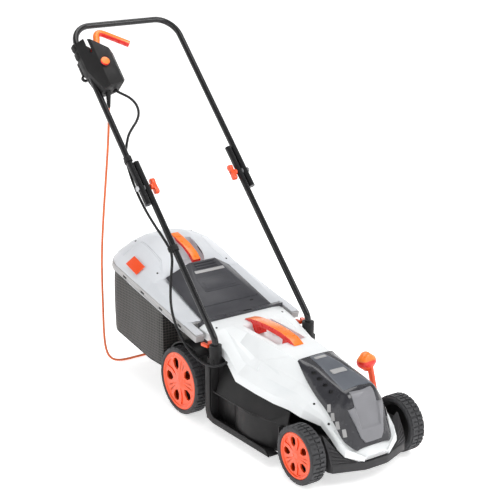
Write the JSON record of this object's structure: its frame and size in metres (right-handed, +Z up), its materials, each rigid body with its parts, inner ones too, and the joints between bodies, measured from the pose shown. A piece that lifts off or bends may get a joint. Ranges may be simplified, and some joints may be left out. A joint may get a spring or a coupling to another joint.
{
  "type": "push lawn mower",
  "caption": "Corded rotary push mower with a moulded deck, folding tube handle, switch box, central height lever, large and small wheels and a rigid-lidded grass bag.",
  "frame": {"origin": "on the floor under the middle of the mower's bounding box, the free cord left out", "axes": "+Z up, -Y towards the nose, +Y towards the operator, +X to the operator's left when the operator faces the nose from behind"},
  "size_m": [0.38, 1.2259, 1.0159],
  "materials": {
    "black_plastic": "fine texture",
    "bumper_plastic": "fine texture",
    "cover_plastic": "satin",
    "panel_plastic": "gloss",
    "boss_plastic": "satin",
    "slate_plastic": "satin",
    "flap_plastic": "satin",
    "grip_plastic": "satin",
    "rim_plastic": "satin",
    "tube_paint": "gloss",
    "bolt_steel": "zinc plated",
    "blade_steel": "ground",
    "motor_alloy": "die cast",
    "winding_brass": "varnished",
    "lead_rubber": "satin",
    "cord_rubber": "satin",
    "tyre_plastic": "moulded",
    "lid_plastic": "satin",
    "rim_band_plastic": "satin",
    "bag_fabric": "open weave"
  },
  "bodies": {
    "chassis": {"deck": "black_plastic", "blade_chamber": "black_plastic", "discharge_chute": "black_plastic", "side_rails": "black_plastic", "front_bumper": "bumper_plastic", "top_cover": "cover_plastic", "motor_panel": "panel_plastic", "front_boss": "boss_plastic", "slate_plate": "slate_plastic", "carry_handle": "grip_plastic", "hinge_bar": "flap_plastic", "handle_sockets": "black_plastic", "lower_tube_left": "tube_paint", "lower_tube_right": "tube_paint", "fold_bolts": "bolt_steel", "motor_housing": "motor_alloy", "motor_stator": "winding_brass", "motor_bearings": "bolt_steel", "axle_bearings": "black_plastic", "cable_clip_lower": "black_plastic", "motor_lead": "lead_rubber", "supply_cord": "cord_rubber", "cord_coil": "cord_rubber", "plug_tail": "cord_rubber", "mains_plug": "black_plastic"},
    "upper_handle": {"upper_handle": "tube_paint", "switch_box_front": "black_plastic", "switch_box_back": "black_plastic", "cord_hook": "black_plastic", "switch_module": "slate_plastic", "strain_relief": "lead_rubber", "cable_clip_upper": "black_plastic"},
    "knob_left": {"knob_left": "rim_plastic"},
    "knob_right": {"knob_right": "rim_plastic"},
    "lock_screw_left": {"lock_screw_left": "rim_plastic"},
    "lock_screw_right": {"lock_screw_right": "rim_plastic"},
    "start_lever": {"start_lever": "grip_plastic"},
    "safety_button": {"safety_button": "grip_plastic"},
    "rear_flap": {"rear_flap": "flap_plastic"},
    "grass_bag": {"bag_lid": "lid_plastic", "bag_mesh": "bag_fabric", "bag_frame": "rim_band_plastic", "bag_grip": "grip_plastic"},
    "fill_indicator": {"fill_indicator": "rim_plastic"},
    "front_crank": {"front_axle": "bolt_steel", "height_lever": "rim_plastic"},
    "rear_crank": {"rear_axle": "bolt_steel"},
    "link_rod": {"link_rod": "bolt_steel"},
    "wheel_front_left": {"tyre_front_left": "tyre_plastic", "rim_front_left": "rim_plastic"},
    "wheel_front_right": {"tyre_front_right": "tyre_plastic", "rim_front_right": "rim_plastic"},
    "wheel_rear_left": {"tyre_rear_left": "tyre_plastic", "rim_rear_left": "rim_plastic"},
    "wheel_rear_right": {"tyre_rear_right": "tyre_plastic", "rim_rear_right": "rim_plastic"},
    "rotor": {"motor_rotor": "bolt_steel", "cooling_fan": "black_plastic", "blade": "blade_steel", "blade_bolt": "bolt_steel"}
  },
  "joints": [
    {"name": "handle_fold", "type": "hinge", "parent": "chassis", "child": "upper_handle", "pos_m": [0, 0.217, 0.606], "axis": [1, 0, 0], "range_deg": [0, 150], "deforming": ["motor_lead", "supply_cord"]},
    {"name": "knob_left_turn", "type": "hinge", "parent": "chassis", "child": "knob_left", "pos_m": [0.126, 0.217, 0.606], "axis": [1, 0, 0], "continuous": true},
    {"name": "knob_right_turn", "type": "hinge", "parent": "chassis", "child": "knob_right", "pos_m": [-0.126, 0.217, 0.606], "axis": [1, 0, 0], "continuous": true},
    {"name": "lock_screw_left_turn", "type": "hinge", "parent": "chassis", "child": "lock_screw_left", "pos_m": [0.157, -0.1, 0.233], "axis": [0, 1, 0], "continuous": true},
    {"name": "lock_screw_right_turn", "type": "hinge", "parent": "chassis", "child": "lock_screw_right", "pos_m": [-0.157, -0.1, 0.233], "axis": [0, 1, 0], "continuous": true},
    {"name": "start_lever_pull", "type": "hinge", "parent": "upper_handle", "child": "start_lever", "pos_m": [-0.14, 0.51293, 0.95275], "axis": [0, -0.7193, 0.6947], "range_deg": [0, 32], "stiffness_Nm_per_rad": 0.5, "springref_deg": -20.05},
    {"name": "safety_button_press", "type": "slide", "parent": "upper_handle", "child": "safety_button", "axis": [0, 0.7193, -0.6947], "range_m": [0, 0.004], "stiffness_N_per_m": 400, "springref_m": -0.003},
    {"name": "flap_lift", "type": "hinge", "parent": "chassis", "child": "rear_flap", "pos_m": [0, -0.01, 0.266], "axis": [1, 0, 0], "range_deg": [0, 70]},
    {"name": "bag_pull", "type": "slide", "parent": "chassis", "child": "grass_bag", "axis": [0, 1, 0], "range_m": [0, 0.45]},
    {"name": "indicator_lift", "type": "hinge", "parent": "grass_bag", "child": "fill_indicator", "pos_m": [-0.1398, 0.26838, 0.35505], "axis": [0.766, -0.1858, 0.6154], "range_deg": [0, 30]},
    {"name": "height_adjust", "type": "hinge", "parent": "chassis", "child": "front_crank", "pos_m": [0, -0.46808, 0.06347], "axis": [1, 0, 0], "range_deg": [0, 35]},
    {"name": "rear_height", "type": "hinge", "parent": "chassis", "child": "rear_crank", "pos_m": [0, 0.06242, 0.08247], "axis": [1, 0, 0], "range_deg": [0, 35]},
    {"name": "link_pivot", "type": "hinge", "parent": "front_crank", "child": "link_rod", "pos_m": [0.127, -0.44854, 0.12546], "axis": [1, 0, 0], "range_deg": [-35, 0]},
    {"name": "roll_front_left", "type": "hinge", "parent": "front_crank", "child": "wheel_front_left", "pos_m": [0.162, -0.511, 0.077], "axis": [1, 0, 0], "continuous": true},
    {"name": "roll_front_right", "type": "hinge", "parent": "front_crank", "child": "wheel_front_right", "pos_m": [-0.162, -0.511, 0.077], "axis": [1, 0, 0], "continuous": true},
    {"name": "roll_rear_left", "type": "hinge", "parent": "rear_crank", "child": "wheel_rear_left", "pos_m": [0.166, 0.0195, 0.096], "axis": [1, 0, 0], "continuous": true},
    {"name": "roll_rear_right", "type": "hinge", "parent": "rear_crank", "child": "wheel_rear_right", "pos_m": [-0.166, 0.0195, 0.096], "axis": [1, 0, 0], "continuous": true},
    {"name": "rotor_spin", "type": "hinge", "parent": "chassis", "child": "rotor", "pos_m": [0, -0.286, 0.1], "axis": [0, 0, 1], "continuous": true}
  ],
  "couplings": [
    {"joint": "rear_height", "follows": "height_adjust", "ratio": 1},
    {"joint": "link_pivot", "follows": "height_adjust", "ratio": -1}
  ]
}
